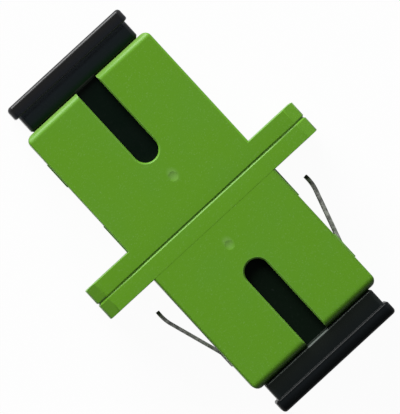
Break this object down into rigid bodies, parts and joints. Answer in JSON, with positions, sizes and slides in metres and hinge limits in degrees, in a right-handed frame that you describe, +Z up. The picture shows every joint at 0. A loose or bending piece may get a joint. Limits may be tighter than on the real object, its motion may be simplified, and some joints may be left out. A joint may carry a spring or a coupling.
{
  "type": "sc fibre adapter",
  "caption": "Flanged simplex fibre adapter: two ports with keyways end to end, a split sleeve between latch hooks, a sprung panel clip and a dust cap in each port.",
  "frame": {"origin": "on the fibre axis, in the joint plane in the middle of the flange", "axes": "+X along the flange, +Y along the fibre axis towards the clip end, which goes through the panel, +Z up out of the keyway side"},
  "size_m": [0.022, 0.0324, 0.0092],
  "materials": {
    "green_plastic": "fine satin moulded",
    "latch_plastic": "natural moulded",
    "zirconia": "polished",
    "spring_steel": "mill rolled",
    "black_plastic": "satin moulded"
  },
  "bodies": {
    "adapter": {"housing_back": "green_plastic", "housing_front": "green_plastic", "latch_holder_back": "latch_plastic", "latch_holder_front": "latch_plastic", "alignment_sleeve": "zirconia", "panel_clip": "spring_steel"},
    "cap_back": {"dust_cap_back": "black_plastic"},
    "cap_front": {"dust_cap_front": "black_plastic"}
  },
  "joints": [
    {"name": "dust_cap_back_pull", "type": "slide", "parent": "adapter", "child": "cap_back", "axis": [0, 1, 0], "range_m": [0, 0.03]},
    {"name": "dust_cap_front_pull", "type": "slide", "parent": "adapter", "child": "cap_front", "axis": [0, -1, 0], "range_m": [0, 0.03]}
  ]
}
